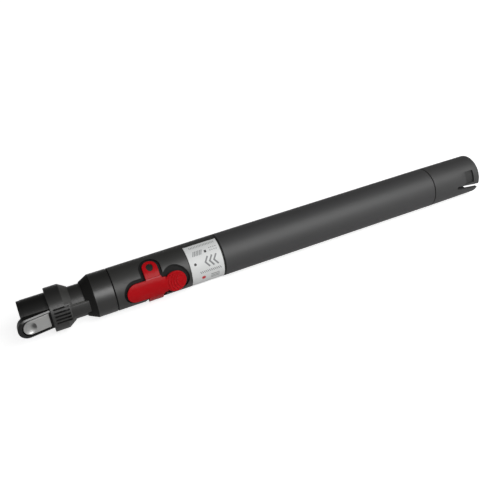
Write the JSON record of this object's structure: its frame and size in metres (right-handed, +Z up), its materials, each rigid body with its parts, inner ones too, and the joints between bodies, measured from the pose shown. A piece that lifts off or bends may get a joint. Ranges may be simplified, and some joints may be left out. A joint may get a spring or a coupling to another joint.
{
  "type": "telescopic vacuum extension wand",
  "caption": "Telescopic vacuum wand: outer tube with keyed socket, inner tube with notched rail, rocker catch lever, tool nozzle with sprung release button.",
  "frame": {"origin": "centre of the socket mouth, on the wand's axis", "axes": "+X along the axis from the socket mouth to the tool end, +Y the side of the catch lever and the release button, +Z up as the wand lies on the floor"},
  "size_m": [0.5255, 0.046, 0.044],
  "materials": {
    "tube_grey": "satin dark grey",
    "housing_grey": "satin dark grey",
    "fitting_black": "satin near black",
    "nozzle_black": "satin near black",
    "lever_red": "semi-gloss red",
    "button_silver": "silver satin",
    "label_film": "pale grey printed film",
    "pin_dark": "blackened steel",
    "spring_steel": "spring steel",
    "bush_acetal": "dark acetal",
    "seal_rubber": "black rubber",
    "seal_felt": "grey felt"
  },
  "bodies": {
    "barrel": {"outer_tube": "tube_grey", "socket_collar": "tube_grey", "catch_housing": "housing_grey", "label": "label_film", "pivot_pins": "pin_dark", "lever_spring": "spring_steel", "nose_cap": "fitting_black", "front_bush": "bush_acetal", "wiper_seal": "seal_rubber"},
    "lever": {"catch_lever": "lever_red"},
    "slider": {"inner_tube": "fitting_black", "end_ring": "bush_acetal", "slide_seal": "seal_felt", "rear_bush": "bush_acetal", "lock_rail": "fitting_black", "tool_cuff": "fitting_black", "nozzle": "nozzle_black", "button_pin": "spring_steel", "button_spring": "spring_steel"},
    "button": {"release_button": "button_silver"}
  },
  "joints": [
    {"name": "wand_extend", "type": "slide", "parent": "barrel", "child": "slider", "axis": [1, 0, 0], "range_m": [0, 0.252]},
    {"name": "lever_rock", "type": "hinge", "parent": "barrel", "child": "lever", "pos_m": [0.3955, 0.01333, 0], "axis": [0, 0, 1], "range_deg": [-4, 3.5], "stiffness_Nm_per_rad": 2, "deforming": ["lever_spring"]},
    {"name": "button_press", "type": "hinge", "parent": "slider", "child": "button", "pos_m": [0.4978, 0.01752, 0], "axis": [0, 0, 1], "range_deg": [-2.5, 0], "stiffness_Nm_per_rad": 0.5, "deforming": ["button_spring"]}
  ]
}
